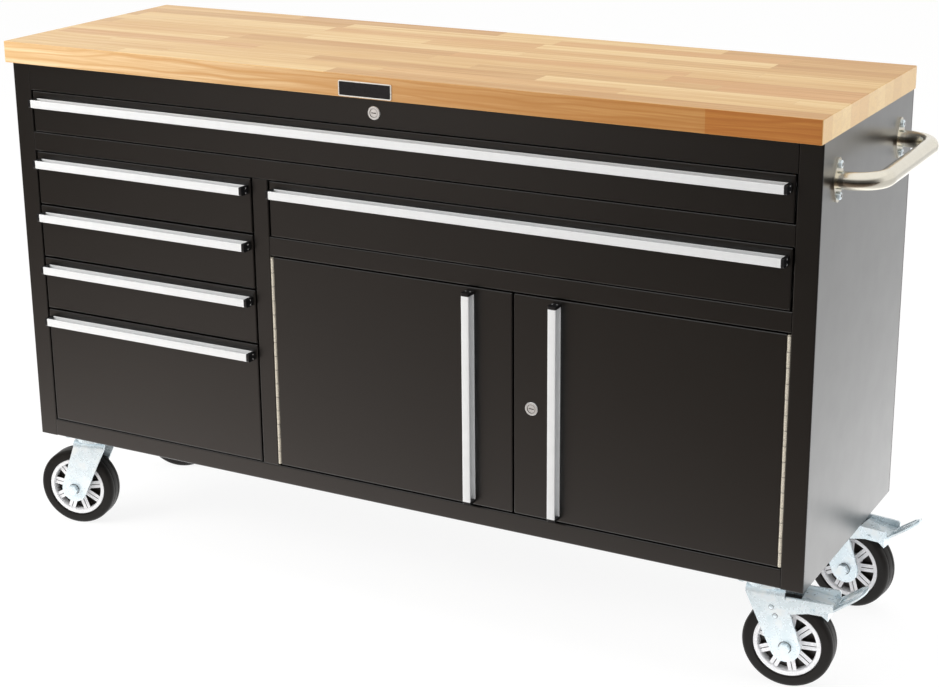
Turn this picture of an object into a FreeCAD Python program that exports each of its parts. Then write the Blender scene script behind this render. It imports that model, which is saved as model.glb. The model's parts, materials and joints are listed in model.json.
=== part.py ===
import FreeCAD, Part

import math
import os

from FreeCAD import Rotation, Vector

# Rolling tool cabinet with worktop, in millimetres.
# It is built from the lower left front corner of the steel body: X runs right, Y back and Z up.
# At the end everything moves together, so that the origin lies on the floor under the middle.

# Sheet metal
sheet = 1.5                   # thickness of the body, drawer and door sheets
bend = 2.0                    # outside radius of every fold
least_bend = 0.3              # inside radius of a fold as tight as the sheet allows
rail_lip = 20.0               # depth of the lips folded back from a rail

# Body width, from left to right
post_width = 38.0
left_bay_width = 474.0
centre_post_width = 32.0
right_bay_width = 938.0

# Body height, from the bottom up
bottom_rail_height = 33.0
door_bay_height = 388.0
door_rail_height = 33.5
mid_bay_height = 100.0
drawer_rail_height = 35.0
top_bay_height = 76.5
top_rail_height = 50.0
shallow_pitch = 100.0         # height taken by each shallow drawer of the left bay
shallow_count = 3

body_depth = 459.0
post_depth = 40.0

# Worktop and its blank plate
top_thickness = 38.0
top_front_overhang = 18.0
top_side_overhang = 2.3
top_back_overhang = 3.0
top_corner_radius = 3.0
top_edge_radius = 1.2
plate_width = 100.0
plate_height = 26.0
plate_thickness = 1.6
plate_rim = 1.4
plate_recess = 0.5
plate_corner = 3.0
plate_rise = 1.5              # from the underside of the worktop to the plate
plate_left = 704.0            # from the left face of the body to the plate

# Drawers
drawer_side_gap = 3.0         # front to bay, left and right
drawer_gap = 1.5              # front to bay, above and below
front_depth = 15.0
box_rise = 6.0                # lower edge of the front to the bottom of the box
box_length = 430.0
box_drop = 10.0               # upper edge of the front to the rim of the box
deep_box_drop = 38.0
drawer_travel = 320.0

# Drawer slides
slide_space = 12.7            # bay wall to drawer box
slide_height = 45.0
slide_sheet = 1.5
slide_reach = 9.5             # flanges of the member on the cabinet
slide_clearance = 0.4
slide_start = 20.0
slide_overlap = 100.0         # length of slide that still holds an open drawer
runner_length = 400.0
runner_gap = 3.0              # bay wall to the flanges of the member on the drawer
slide_rise = 30.0             # bottom of the box to the middle of the slide

# Doors and hinges
door_gap = 2.5                # door to bay, above and below
door_centre_gap = 3.0
door_depth = 20.0
door_lip = 12.0
hinge_knuckle_radius = 2.75
hinge_pin_radius = 1.25
hinge_pitch = 25.4
hinge_leaf = 1.2
hinge_leaf_width = 26.0
hinge_pin_inset = 1.75        # front plane to the hinge pin
hinge_door_clearance = 0.5
knuckle_gap = 0.3
running_clearance = 0.05      # radial, round every pin and axle

# Pulls: a trough of extruded aluminium between two plastic caps
pull_depth = 20.0
pull_height = 15.0
pull_wall = 2.0
pull_lip = 3.5
pull_trough_round = 1.5
pull_lip_round = 1.2
pull_back_round = 0.6
pull_cap = 6.0
pull_margin = 5.0             # cap to the edge of the front
pull_drop = 12.5              # upper edge of a drawer front to the top of its pull
door_pull_inset = 71.0        # middle of the right bay to a door pull

# Shelf
shelf_height = 190.0
shelf_start = 30.0
shelf_length = 415.0
shelf_fold = 20.0
shelf_side_gap = 1.0
ledge_width = 15.0
ledge_setback = 3.0

# Locks
lock_flange_radius = 11.5
lock_flange = 2.5
lock_barrel_radius = 9.5
lock_plug_radius = 7.0
lock_plug_recess = 0.6
lock_length = 22.0            # front plane to the back of the barrel
lock_key_width = 9.0
lock_key_height = 1.6
lock_key_depth = 4.0
cam_thickness = 2.0
cam_radius = 7.0
cam_tip_radius = 5.0
cam_gap = 0.4
top_cam_length = 30.0
door_cam_length = 44.0
top_lock_drop = 25.6          # top of the body to the lock in the top rail
door_lock_inset = 33.0        # free edge of the right door to its lock
door_lock_rise = 193.5        # bottom of the door bay to its lock

# Push handle on the right side
handle_radius = 14.0
handle_wall = 2.0
handle_reach = 63.0           # side panel to the middle of the tube
handle_bend = 49.0
handle_span = 320.0
handle_front = 65.0           # front plane to the first leg
handle_drop = 68.0            # top of the body to the handle
flange_thickness = 3.5
flange_radius = 22.5
flange_ear_radius = 10.5
flange_bolt_offset = 24.0
handle_bolt_radius = 4.0
handle_bolt_head = 6.5
handle_bolt_height = 5.0
handle_bolt_length = 12.0
bolt_clearance = 0.1

# Casters
caster_inset = 78.0           # side of the body to the swivel axis
caster_front = 62.6           # front plane to the front swivel axis
caster_rear = 396.4           # front plane to the rear swivel axis
wheel_radius = 75.0
wheel_width = 38.0
tyre_shoulder = 7.0
rim_radius = 56.0
rim_width = 34.0
rim_band = 8.5
rim_disc = 26.0
rim_web = 4.0
spoke_count = 9
spoke_width = 14.0
window_inner = 24.0
hub_radius = 17.0
hub_round = 1.0
window_round = 1.2
axle_radius = 6.0
axle_nut_radius = 10.0
axle_nut_height = 9.0
caster_trail = 38.0
axle_drop = 118.5             # underside of the body to the axle
fork_width = 60.0
fork_plate = 4.0
fork_top = 19.0               # underside of the body to the crown
fork_bend = 12.0
fork_shoulder = 31.0          # underside of the body to the shoulders of the legs
fork_back = 30.0
fork_front = 34.0
fork_end_radius = 25.0
fork_wheel_clearance = 0.4
mount_plate_length = 90.0
mount_plate_width = 102.0
mount_plate = 4.0
mount_plate_corner = 8.0
mount_bolt_x = 31.0
mount_bolt_y = 39.0
mount_bolt_radius = 4.0
mount_bolt_head = 7.5
mount_bolt_head_height = 5.5
mount_bolt_rise = 6.0
race_radius = 36.0
race_depth = 7.0
race_clearance = 0.4
kingpin_radius = 6.0
kingpin_head_radius = 11.0
kingpin_head = 8.0
kingpin_gap = 0.3

# Brake of the two right casters
ear_start = 40.0
ear_end = 112.0
ear_root_depth = 30.0
ear_tip_depth = 13.0
pedal_pivot_x = 80.0
pedal_pivot_drop = 46.5
pedal_pin_radius = 3.0
pedal_pin_head = 2.5
pedal_sheet = 3.0
pedal_start = 58.0
pedal_start_drop = 36.0
pedal_knee = 110.0
pedal_knee_drop = 43.0
pedal_tip = 160.0
pedal_tip_drop = 7.0
pedal_bend = 8.0
pedal_tongue_width = 50.0
pedal_tip_radius = 22.0
pedal_skirt_end = 98.0
pedal_skirt_drop = 55.0
pedal_skirt_inset = 8.0       # foremost lower corner of the skirt to the pedal pin
pedal_clearance = 0.5
pedal_press = 10.0            # degrees
shoe_start = 86.0
shoe_end = 102.0
shoe_width = 30.0
shoe_clearance = 1.0

# Rest angles of the casters, in degrees, from straight out to the side
swivel_front_left = 13.0
swivel_rear_left = 26.0
swivel_front_right = 5.0
swivel_rear_right = -7.5

# Rest angles of the wheels, in degrees, from the axle's level forward line to the middle of a pocket
roll_front_left = 30.0
roll_rear_left = 0.0
roll_front_right = 22.5
roll_rear_right = 27.0

# Places that follow from the sizes above
slide_length = drawer_travel + slide_overlap
left_bay_start = post_width
left_bay_end = left_bay_start + left_bay_width
right_bay_start = left_bay_end + centre_post_width
right_bay_end = right_bay_start + right_bay_width
right_bay_middle = (right_bay_start + right_bay_end) / 2
body_width = right_bay_end + post_width
door_bay_bottom = bottom_rail_height
door_bay_top = door_bay_bottom + door_bay_height
mid_bay_bottom = door_bay_top + door_rail_height
mid_bay_top = mid_bay_bottom + mid_bay_height
top_bay_bottom = mid_bay_top + drawer_rail_height
top_bay_top = top_bay_bottom + top_bay_height
body_height = top_bay_top + top_rail_height
panel_back = body_depth - sheet           # back of the side panels, front of the back panel
door_bottom = door_bay_bottom + door_gap
door_top = door_bay_top - door_gap
hinge_offset = hinge_knuckle_radius
door_hinge_edge = hinge_knuckle_radius * 2 + hinge_door_clearance
fork_inner = fork_width / 2 - fork_plate
floor_drop = axle_drop + wheel_radius


def on_x(u, v, along):
    return Vector(along, u, v)


def on_y(u, v, along):
    return Vector(u, along, v)


def on_z(u, v, along):
    return Vector(u, v, along)


def outline(corners, place, along):
    """Closed face through (u, v, radius) corners, each rounded by its own radius."""
    edges = []
    ends = []
    count = len(corners)
    for index in range(count):
        before = Vector(*corners[index - 1][:2])
        corner = Vector(*corners[index][:2])
        after = Vector(*corners[(index + 1) % count][:2])
        radius = corners[index][2]
        if radius == 0:
            ends.append((corner, corner, None))
            continue
        back = (before - corner).normalize()
        ahead = (after - corner).normalize()
        half = back.getAngle(ahead) / 2
        setback = radius / math.tan(half)
        middle = (back + ahead).normalize() * (radius / math.sin(half) - radius)
        ends.append((corner + back * setback, corner + ahead * setback, corner + middle))
    for index in range(count):
        start, end, middle = ends[index]
        if middle is not None:
            edges.append(Part.Arc(*[place(p.x, p.y, along) for p in (start, middle, end)]).toShape())
        target = ends[(index + 1) % count][0]
        if (target - end).Length > 1e-6:
            from_here = place(end.x, end.y, along)
            to_there = place(target.x, target.y, along)
            edges.append(Part.LineSegment(from_here, to_there).toShape())
    return Part.Face(Part.Wire(edges))


def prism(corners, place, start, end):
    """Solid of an outline, from start to end along the third axis."""
    face = outline(corners, place, start)
    return face.extrude(place(0, 0, end) - place(0, 0, start))


def folded(path, thickness, radius, place, start, end):
    """Sheet folded along the (u, v) points of its outside, with its thickness to their left."""
    normals = []
    for first, second in zip(path, path[1:]):
        run = math.hypot(second[0] - first[0], second[1] - first[1])
        normals.append(((first[1] - second[1]) / run, (second[0] - first[0]) / run))
    last = len(path) - 1
    inner_radius = max(radius - thickness, least_bend)
    outside = []
    inside = []
    for index, (u, v) in enumerate(path):
        near = normals[max(index - 1, 0)]
        far = normals[min(index, last - 1)]
        share = thickness / (1 + near[0] * far[0] + near[1] * far[1])
        round_here = 0 < index < last
        turns_in = near[0] * far[1] - near[1] * far[0] > 0
        outer = radius if turns_in else inner_radius
        inner = inner_radius if turns_in else radius
        outside.append((u, v, outer if round_here else 0))
        inside.append((u + (near[0] + far[0]) * share, v + (near[1] + far[1]) * share,
                       inner if round_here else 0))
    return prism(outside + inside[::-1], place, start, end)


def link(centre_a, radius_a, centre_b, radius_b, place, start, end):
    """Solid round two discs and the straight tangents between them."""
    run_u = centre_b[0] - centre_a[0]
    run_v = centre_b[1] - centre_a[1]
    heading = math.atan2(run_v, run_u)
    lean = math.acos((radius_a - radius_b) / math.hypot(run_u, run_v))

    def rim(centre, radius, angle):
        return place(centre[0] + radius * math.cos(angle), centre[1] + radius * math.sin(angle), start)

    left = heading + lean
    right = heading - lean
    edges = [
        Part.LineSegment(rim(centre_a, radius_a, left), rim(centre_b, radius_b, left)).toShape(),
        Part.Arc(rim(centre_b, radius_b, left), rim(centre_b, radius_b, heading),
                 rim(centre_b, radius_b, right)).toShape(),
        Part.LineSegment(rim(centre_b, radius_b, right), rim(centre_a, radius_a, right)).toShape(),
        Part.Arc(rim(centre_a, radius_a, right), rim(centre_a, radius_a, heading + math.pi),
                 rim(centre_a, radius_a, left)).toShape(),
    ]
    return Part.Face(Part.Wire(edges)).extrude(place(0, 0, end) - place(0, 0, start))


def block(x0, x1, y0, y1, z0, z1):
    return Part.makeBox(x1 - x0, y1 - y0, z1 - z0, Vector(x0, y0, z0))


def rod(radius, start, end):
    return Part.makeCylinder(radius, (end - start).Length, start, end - start)


def edges_where(shape, test):
    return [edge for edge in shape.Edges if test(edge)]


def pan(x0, x1, z0, z1, depth):
    """Sheet dished back from the front plane, with rounded edges and an open back."""
    outer = block(x0, x1, 0, depth, z0, z1)
    outer = outer.makeFillet(bend, edges_where(outer, lambda edge: edge.BoundBox.YMin < depth / 2))
    return outer.cut(block(x0 + sheet, x1 - sheet, sheet, depth, z0 + sheet, z1 - sheet))


def worktop():
    slab = block(-top_side_overhang, body_width + top_side_overhang, -top_front_overhang,
                 body_depth + top_back_overhang, body_height, body_height + top_thickness)
    upright = edges_where(slab, lambda edge: edge.BoundBox.ZLength > top_thickness / 2)
    slab = slab.makeFillet(top_corner_radius, upright)
    level = edges_where(slab, lambda edge: edge.BoundBox.ZLength < top_thickness / 2)
    return slab.makeFillet(top_edge_radius, level)


def nameplate():
    """Blank plate with a raised rim on the front edge of the worktop."""
    bottom = body_height + plate_rise
    back = -top_front_overhang
    front = back - plate_thickness

    def sides(inset):
        left = plate_left + inset
        right = plate_left + plate_width - inset
        low = bottom + inset
        high = bottom + plate_height - inset
        corner = plate_corner - inset
        return [(left, low, corner), (right, low, corner), (right, high, corner), (left, high, corner)]

    return prism(sides(0), on_y, front, back).cut(prism(sides(plate_rim), on_y, front, front + plate_recess))


def side_panel():
    """Left side sheet, folded at the front and back into hollow posts."""
    path = [(post_width, panel_back - post_depth), (post_width, panel_back), (0, panel_back), (0, 0),
            (post_width, 0), (post_width, post_depth)]
    return folded(path, sheet, bend, on_z, 0, body_height)


def mirrored(shape):
    return shape.mirror(Vector(body_width / 2, 0, 0), Vector(1, 0, 0))


def rail(bottom, top, start, end):
    """Channel with its face in the front plane and a lip folded back at top and bottom."""
    path = [(rail_lip, bottom), (0, bottom), (0, top), (rail_lip, top)]
    return folded(path[::-1], sheet, bend, on_x, start, end)


def base_pan(sides):
    """Bottom sheet, whose front edge is folded up into the bottom rail."""
    path = [(panel_back, 0), (0, 0), (0, bottom_rail_height), (rail_lip, bottom_rail_height)]
    pan_part = folded(path[::-1], sheet, bend, on_x, post_width, body_width - post_width)
    floor = block(sheet, body_width - sheet, post_depth / 2, panel_back - sheet, 0, sheet)
    whole = pan_part.fuse(floor).removeSplitter()
    for side in sides:
        whole = whole.cut(side)
    return whole


def centre_post():
    path = [(left_bay_end, post_depth), (left_bay_end, 0), (right_bay_start, 0),
            (right_bay_start, post_depth)]
    return folded(path, sheet, bend, on_z, bottom_rail_height, mid_bay_top)


def divider_panel():
    path = [(right_bay_start, post_depth), (right_bay_start, panel_back), (left_bay_end, panel_back),
            (left_bay_end, post_depth)]
    return folded(path, sheet, bend, on_z, sheet, mid_bay_top)


def shelf():
    start = shelf_start
    end = shelf_start + shelf_length
    path = [(end, shelf_height - shelf_fold), (end, shelf_height), (start, shelf_height),
            (start, shelf_height - shelf_fold)]
    return folded(path, sheet, bend, on_x, right_bay_start + shelf_side_gap, right_bay_end - shelf_side_gap)


def shelf_ledges():
    """Angle on each wall of the right bay, under the ends of the shelf."""
    top = shelf_height - sheet
    start = shelf_start + sheet + ledge_setback
    end = shelf_start + shelf_length - sheet - ledge_setback
    left = [(right_bay_start, top - ledge_width), (right_bay_start, top),
            (right_bay_start + ledge_width, top)]
    right = [(right_bay_end - ledge_width, top), (right_bay_end, top), (right_bay_end, top - ledge_width)]
    return [folded(path[::-1], sheet, bend, on_y, start, end) for path in (left, right)]


def slide_member(wall, inward, middle):
    """Channel of a drawer slide, fixed to a bay wall and open towards the drawer."""
    low = middle - slide_height / 2
    high = middle + slide_height / 2
    reach = wall + inward * slide_reach
    path = [(reach, low), (wall, low), (wall, high), (reach, high)]
    if inward > 0:
        path = path[::-1]
    return folded(path, slide_sheet, bend, on_y, slide_start, slide_start + slide_length)


def runner_member(wall, inward, middle):
    """Smaller channel on the side of a drawer box, which runs inside the slide channel."""
    half = slide_height / 2 - slide_sheet - slide_clearance
    near = wall + inward * runner_gap
    far = wall + inward * slide_space
    path = [(near, middle - half), (far, middle - half), (far, middle + half), (near, middle + half)]
    if inward < 0:
        path = path[::-1]
    return folded(path, slide_sheet, bend, on_y, slide_start, slide_start + runner_length)


def pull_corners():
    """Section of a pull: u runs out from the front, v from its closed side to its open side."""
    return [(0, 0, 0), (0, pull_height, pull_back_round), (-pull_wall, pull_height, pull_back_round),
            (-pull_wall, pull_wall, pull_trough_round), (pull_lip - pull_depth, pull_wall, pull_trough_round),
            (pull_lip - pull_depth, pull_height, pull_lip_round), (-pull_depth, pull_height, pull_lip_round),
            (-pull_depth, 0, pull_lip)]


def cap_corners():
    return [(0, 0, 0), (0, pull_height, pull_back_round), (-pull_depth, pull_height, pull_lip_round),
            (-pull_depth, 0, pull_lip)]


def pull(place, start, end):
    """Trough and its two caps, from start to end over the caps."""
    return [prism(pull_corners(), place, start + pull_cap, end - pull_cap),
            prism(cap_corners(), place, start, start + pull_cap),
            prism(cap_corners(), place, end - pull_cap, end)]


def drawer(bay_start, bay_end, bottom, top, drop):
    """Drawer, its pull and the slide members on it and on the cabinet, for one bay."""
    left = bay_start + drawer_side_gap
    right = bay_end - drawer_side_gap
    low = bottom + drawer_gap
    high = top - drawer_gap
    front = pan(left, right, low, high, front_depth)
    box_left = bay_start + slide_space
    box_right = bay_end - slide_space
    box_low = low + box_rise
    box_high = high - drop
    box = block(box_left, box_right, sheet, box_length, box_low, box_high)
    hollow = block(box_left + sheet, box_right - sheet, 0, box_length - sheet, box_low + sheet, box_high)
    body = front.fuse(box.cut(hollow)).removeSplitter()
    pull_bottom = high - pull_drop - pull_height

    def pull_place(u, v, along):
        return Vector(along, u, pull_bottom + v)

    middle = box_low + slide_rise
    return {
        "body": [body],
        "pull": pull(pull_place, left + pull_margin, right - pull_margin),
        "runners": [runner_member(bay_start, 1, middle), runner_member(bay_end, -1, middle)],
        "slides": [slide_member(bay_start, 1, middle), slide_member(bay_end, -1, middle)],
    }


def lock_place():
    free_edge = right_bay_middle + door_centre_gap / 2
    return Vector(free_edge + door_lock_inset, 0, door_bay_bottom + door_lock_rise)


def top_lock_place():
    return Vector(body_width / 2, 0, body_height - top_lock_drop)


def lock_hole(place):
    radius = lock_barrel_radius + bolt_clearance
    return rod(radius, place, place + Vector(0, sheet * 2, 0))


def lock_barrel(place):
    flange = rod(lock_flange_radius, place - Vector(0, lock_flange, 0), place)
    front_rim = edges_where(flange, lambda edge: edge.BoundBox.YMax < place.y - lock_flange / 2)
    flange = flange.makeFillet(lock_flange / 2, front_rim)
    barrel = flange.fuse(rod(lock_barrel_radius, place, place + Vector(0, lock_length, 0)))
    bore = rod(lock_plug_radius + running_clearance, place - Vector(0, lock_flange, 0),
               place + Vector(0, lock_length, 0))
    return barrel.cut(bore)


def lock_plug(place, cam_length, cam_heading):
    """Key plug with its slot, and the cam on its back end."""
    front = place.y + lock_plug_recess - lock_flange
    cam_start = place.y + lock_length + cam_gap
    plug = rod(lock_plug_radius, Vector(place.x, front, place.z), Vector(place.x, cam_start, place.z))
    slot = block(place.x - lock_key_width / 2, place.x + lock_key_width / 2, front, front + lock_key_depth,
                 place.z - lock_key_height / 2, place.z + lock_key_height / 2)
    tip = (place.x + cam_length * cam_heading[0], place.z + cam_length * cam_heading[1])
    cam = link((place.x, place.z), cam_radius, tip, cam_tip_radius, on_y,
               cam_start, cam_start + cam_thickness)
    return plug.cut(slot).fuse(cam)


def hinge(side, is_door):
    """Half of a continuous hinge beside a bay wall. side is 1 for the left door and -1 for the right."""
    wall = right_bay_start if side > 0 else right_bay_end
    pin_x = wall + side * hinge_offset
    count = int((door_top - door_bottom) // hinge_pitch)
    start = (door_top + door_bottom - count * hinge_pitch) / 2
    leaf_start = hinge_pin_inset + hinge_knuckle_radius + knuckle_gap
    leaf_end = door_depth - sheet if is_door else hinge_leaf_width
    near = wall + side * (door_hinge_edge - hinge_leaf) if is_door else wall
    far = near + side * hinge_leaf
    x0 = min(near, far)
    x1 = max(near, far)
    shape = block(x0, x1, leaf_start, leaf_end, start, start + count * hinge_pitch)
    for index in range(count):
        if (index % 2 == 0) == is_door:
            continue
        low = start + index * hinge_pitch + knuckle_gap / 2
        high = low + hinge_pitch - knuckle_gap
        shape = shape.fuse([rod(hinge_knuckle_radius, Vector(pin_x, hinge_pin_inset, low),
                                Vector(pin_x, hinge_pin_inset, high)),
                            block(x0, x1, hinge_pin_inset, leaf_start, low, high)])
    pin_radius = hinge_pin_radius + running_clearance if is_door else hinge_pin_radius
    pin = rod(pin_radius, Vector(pin_x, hinge_pin_inset, start),
              Vector(pin_x, hinge_pin_inset, start + count * hinge_pitch))
    shape = shape.cut(pin) if is_door else shape.fuse(pin)
    return shape.removeSplitter()


def door(side):
    """Door pan with a lip folded in round its open back."""
    if side > 0:
        left = right_bay_start + door_hinge_edge
        right = right_bay_middle - door_centre_gap / 2
    else:
        left = right_bay_middle + door_centre_gap / 2
        right = right_bay_end - door_hinge_edge
    shape = pan(left, right, door_bottom, door_top, door_depth)
    frame = block(left + sheet, right - sheet, door_depth - sheet, door_depth,
                  door_bottom + sheet, door_top - sheet)
    frame = frame.cut(block(left + door_lip, right - door_lip, 0, door_depth,
                            door_bottom + door_lip, door_top - door_lip))
    return shape.fuse(frame).removeSplitter()


def door_pull(side):
    """Upright pull near the middle of the bay, with its open side to the right."""
    start = right_bay_middle - side * door_pull_inset
    closed_side = start - pull_height if side > 0 else start

    def place(u, v, along):
        return Vector(closed_side + v, u, along)

    return pull(place, door_bottom + pull_margin, door_top - pull_margin)


def handle_legs():
    return [handle_front, handle_front + handle_span]


def handle_bolt_places():
    height = body_height - handle_drop
    return [(y, height + offset) for y in handle_legs()
            for offset in (-flange_bolt_offset, flange_bolt_offset)]


def handle_tube(radius):
    """Tube bent round two corners, from one flange to the other."""
    near, far = handle_legs()
    z = body_height - handle_drop
    face = body_width
    out = body_width + handle_reach
    turn = handle_bend * (1 - math.sqrt(0.5))
    points = [Vector(face, near, z), Vector(out - handle_bend, near, z), Vector(out - turn, near + turn, z),
              Vector(out, near + handle_bend, z), Vector(out, far - handle_bend, z),
              Vector(out - turn, far - turn, z), Vector(out - handle_bend, far, z), Vector(face, far, z)]
    path = Part.Wire([Part.LineSegment(points[0], points[1]).toShape(),
                      Part.Arc(points[1], points[2], points[3]).toShape(),
                      Part.LineSegment(points[3], points[4]).toShape(),
                      Part.Arc(points[4], points[5], points[6]).toShape(),
                      Part.LineSegment(points[6], points[7]).toShape()])
    ring = Part.Wire([Part.makeCircle(radius, points[0], Vector(1, 0, 0))])
    return path.makePipeShell([ring], True, False)


def push_handle():
    z = body_height - handle_drop
    shape = handle_tube(handle_radius)
    for y in handle_legs():
        for offset in (-flange_bolt_offset, flange_bolt_offset):
            shape = shape.fuse(link((y, z), flange_radius, (y, z + offset), flange_ear_radius, on_x,
                                    body_width, body_width + flange_thickness))
    shape = shape.cut(handle_tube(handle_radius - handle_wall))
    for y, height in handle_bolt_places():
        shape = shape.cut(rod(handle_bolt_radius + bolt_clearance, Vector(body_width, y, height),
                              Vector(body_width + flange_thickness, y, height)))
    return shape.removeSplitter()


def handle_bolts():
    bolts = []
    for y, z in handle_bolt_places():
        seat = Vector(body_width + flange_thickness, y, z)
        head = rod(handle_bolt_head, seat, seat + Vector(handle_bolt_height, 0, 0))
        outer_rim = edges_where(head, lambda edge: edge.BoundBox.XMin > seat.x + handle_bolt_height / 2)
        head = head.makeFillet(handle_bolt_height / 2, outer_rim)
        bolts.append(head.fuse(rod(handle_bolt_radius, seat - Vector(handle_bolt_length, 0, 0), seat)))
    return bolts


def caster_spots():
    """Name, swivel axis and rest angles of each caster and its wheel, and whether it has a brake."""
    left = caster_inset
    right = body_width - caster_inset
    return [
        ("front_left", Vector(left, caster_front, 0), 180 + swivel_front_left, roll_front_left, False),
        ("rear_left", Vector(left, caster_rear, 0), 180 + swivel_rear_left, roll_rear_left, False),
        ("front_right", Vector(right, caster_front, 0), swivel_front_right, roll_front_right, True),
        ("rear_right", Vector(right, caster_rear, 0), swivel_rear_right, roll_rear_right, True),
    ]


def mount_bolt_places(axis):
    return [axis + Vector(along, across, 0) for along in (-mount_bolt_x, mount_bolt_x)
            for across in (-mount_bolt_y, mount_bolt_y)]


def caster_mount(axis):
    """Plate under the body, with the upper ball race and the kingpin."""
    half_x = mount_plate_length / 2
    half_y = mount_plate_width / 2
    corners = [(axis.x - half_x, axis.y - half_y), (axis.x + half_x, axis.y - half_y),
               (axis.x + half_x, axis.y + half_y), (axis.x - half_x, axis.y + half_y)]
    shape = prism([(x, y, mount_plate_corner) for x, y in corners], on_z, -mount_plate, 0)
    race = rod(race_radius, axis - Vector(0, 0, mount_plate), axis - Vector(0, 0, mount_plate + race_depth))
    under_crown = fork_top + fork_plate + kingpin_gap
    pin = rod(kingpin_radius, axis - Vector(0, 0, mount_plate), axis - Vector(0, 0, under_crown))
    head = rod(kingpin_head_radius, axis - Vector(0, 0, under_crown),
               axis - Vector(0, 0, under_crown + kingpin_head))
    shape = shape.fuse([race, pin, head])
    for place in mount_bolt_places(axis):
        shape = shape.cut(rod(mount_bolt_radius + bolt_clearance, place - Vector(0, 0, mount_plate), place))
    return shape.removeSplitter()


def hexagon(radius, start, end):
    """Hexagonal prism along Z or Y, radius to its corners."""
    axis = end - start
    side = Vector(1, 0, 0)
    points = []
    for index in range(7):
        turn = Rotation(axis, index * 60)
        points.append(start + turn.multVec(side) * radius)
    return Part.Face(Part.makePolygon(points)).extrude(axis)


def mount_bolts():
    bolts = []
    for spot in caster_spots():
        for place in mount_bolt_places(spot[1]):
            underside = place - Vector(0, 0, mount_plate)
            seat = place + Vector(0, 0, sheet)
            end = seat + Vector(0, 0, mount_bolt_rise)
            head = hexagon(mount_bolt_head, underside - Vector(0, 0, mount_bolt_head_height), underside)
            nut = hexagon(mount_bolt_head, seat, end)
            bolts.append(head.fuse([rod(mount_bolt_radius, underside, end), nut]))
    return bolts


def tangent_point(point, side):
    """Where the line from a shoulder of the leg meets the round end of the leg."""
    run_x = caster_trail - point[0]
    run_z = -axle_drop - point[1]
    distance = math.hypot(run_x, run_z)
    heading = math.atan2(run_z, run_x) + side * math.asin(fork_end_radius / distance)
    reach = math.sqrt(distance ** 2 - fork_end_radius ** 2)
    return (point[0] + reach * math.cos(heading), point[1] + reach * math.sin(heading))


def leg_outline():
    """Side view of the fork: straight shoulders and tangents to a round end at the axle."""
    top = -fork_top
    front = (fork_front, -fork_shoulder)
    back = (-fork_back, -fork_shoulder)
    front_end = tangent_point(front, 1)
    back_end = tangent_point(back, -1)
    lowest = (caster_trail, -axle_drop - fork_end_radius)
    flat = [(-fork_back, top), (fork_front, top), front, front_end]
    points = [on_y(u, v, -fork_width) for u, v in flat]
    edges = [Part.LineSegment(a, b).toShape() for a, b in zip(points, points[1:])]
    edges.append(Part.Arc(points[-1], on_y(*lowest, -fork_width), on_y(*back_end, -fork_width)).toShape())
    edges.append(Part.LineSegment(on_y(*back_end, -fork_width), on_y(*back, -fork_width)).toShape())
    edges.append(Part.LineSegment(on_y(*back, -fork_width), points[0]).toShape())
    return Part.Face(Part.Wire(edges)).extrude(Vector(0, fork_width * 2, 0))


def fork(brake):
    """Pressed fork with its lower ball race, and on a braked caster the ears of the pedal."""
    half = fork_width / 2
    deep = -axle_drop - fork_end_radius * 2
    section = folded([(-half, deep), (-half, -fork_top), (half, -fork_top), (half, deep)][::-1],
                     fork_plate, fork_bend, on_x, -fork_back, wheel_radius + caster_trail)
    shape = section.common(leg_outline())
    race_top = -(mount_plate + race_depth + race_clearance)
    shape = shape.fuse(rod(race_radius, Vector(0, 0, race_top), Vector(0, 0, -fork_top)))
    if brake:
        ear = [(ear_start - fork_plate, -fork_shoulder, 0), (ear_end, -fork_shoulder, fork_plate),
               (ear_end, -fork_shoulder - ear_tip_depth, fork_plate),
               (ear_start - fork_plate, -fork_shoulder - ear_root_depth, 0)]
        for start in (-half, half - fork_plate):
            shape = shape.fuse(prism(ear, on_y, start, start + fork_plate))
        pin_reach = Vector(0, half + pedal_pin_head, 0)
        pivot = Vector(pedal_pivot_x, 0, -pedal_pivot_drop)
        shape = shape.fuse(rod(pedal_pin_radius, pivot - pin_reach, pivot + pin_reach))
    kingpin_end = Vector(0, 0, -fork_top - fork_plate)
    shape = shape.cut(rod(kingpin_radius + running_clearance, Vector(0, 0, 0), kingpin_end))
    side = Vector(0, fork_width, 0)
    hub = Vector(caster_trail, 0, -axle_drop)
    return shape.cut(rod(axle_radius + bolt_clearance, hub - side, hub + side)).removeSplitter()


def axle():
    """Wheel bolt, with its head on one leg and its nut on the other."""
    hub = Vector(caster_trail, 0, -axle_drop)
    leg = Vector(0, fork_width / 2, 0)
    end = Vector(0, fork_width / 2 + axle_nut_height, 0)
    return rod(axle_radius, hub - leg, hub + leg).fuse([hexagon(axle_nut_radius, hub - end, hub - leg),
                                                       hexagon(axle_nut_radius, hub + leg, hub + end)])


def turned(profile):
    """Solid turned about the axle from (radius, y, rounding) corners."""
    face = outline(profile, lambda u, v, along: Vector(u, v, 0), 0)
    solid = face.revolve(Vector(0, 0, 0), Vector(0, 1, 0), 360)
    solid.translate(Vector(caster_trail, 0, -axle_drop))
    return solid


def tyre():
    half = wheel_width / 2
    return turned([(rim_radius, -half, 0), (wheel_radius, -half, tyre_shoulder),
                   (wheel_radius, half, tyre_shoulder), (rim_radius, half, 0)])


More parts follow.
